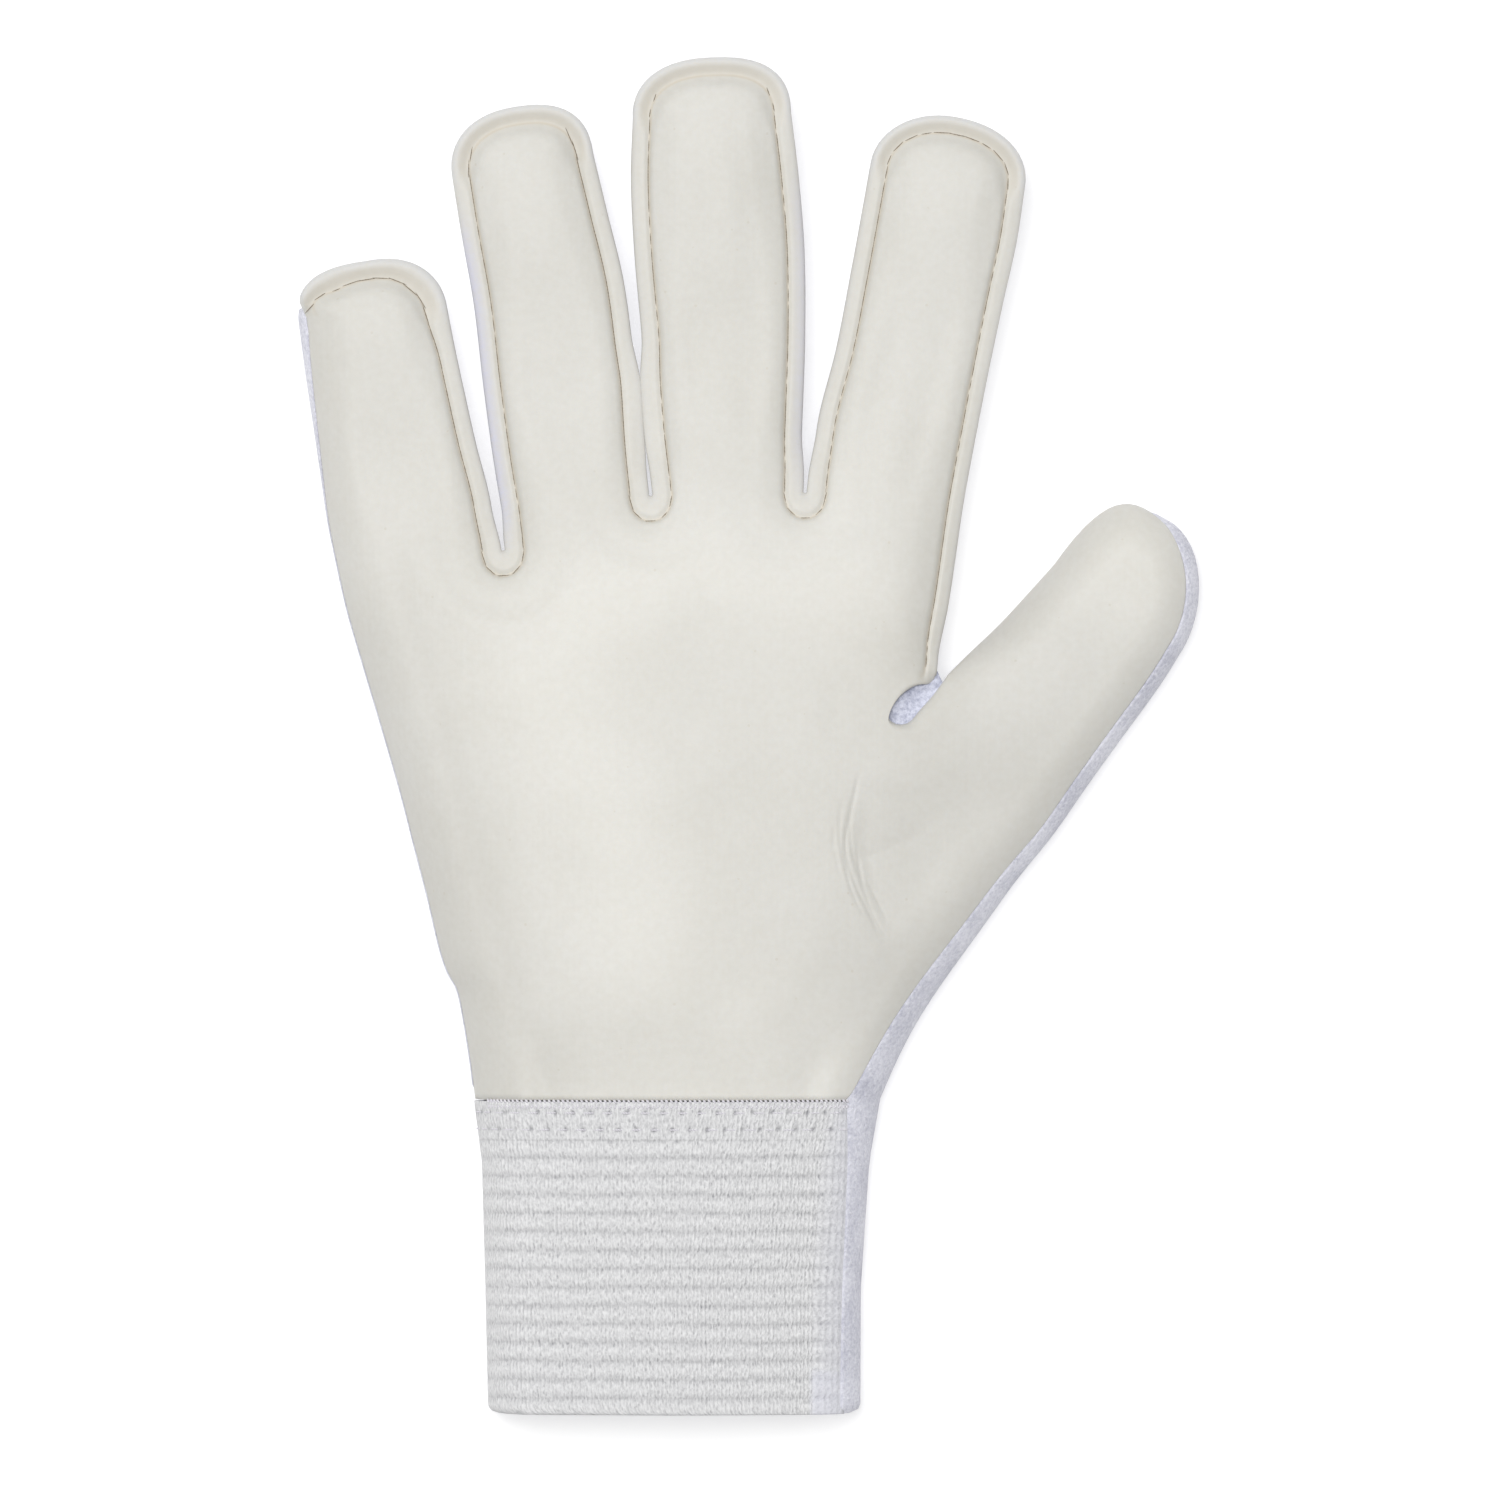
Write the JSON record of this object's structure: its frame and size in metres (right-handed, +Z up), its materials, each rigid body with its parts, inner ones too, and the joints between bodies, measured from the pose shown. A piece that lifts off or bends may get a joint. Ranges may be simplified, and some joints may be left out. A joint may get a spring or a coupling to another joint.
{
  "type": "goalkeeper glove",
  "caption": "Right-hand slip-on goalkeeper glove, palm up: smooth latex foam palm with flat-cut fingers, textile back and gussets, ribbed elastic cuff.",
  "frame": {"origin": "middle of the glove's footprint, on the floor that its back rests on", "axes": "+X towards the thumb, +Y along the glove towards the fingertips, +Z up out of the palm"},
  "size_m": [0.1502, 0.226, 0.0225],
  "materials": {
    "latex": "matt smooth cream-white latex foam",
    "textile": "brushed pale lilac-grey textile",
    "knit": "matt white ribbed elastic knit"
  },
  "bodies": {
    "root": {"palm_foam": "latex", "back_panel": "textile", "gusset_little_ring": "textile", "gusset_ring_middle": "textile", "gusset_middle_index": "textile", "gusset_index_thumb": "textile", "thumb_web": "textile", "cuff_elastic": "knit"}
  },
  "joints": []
}
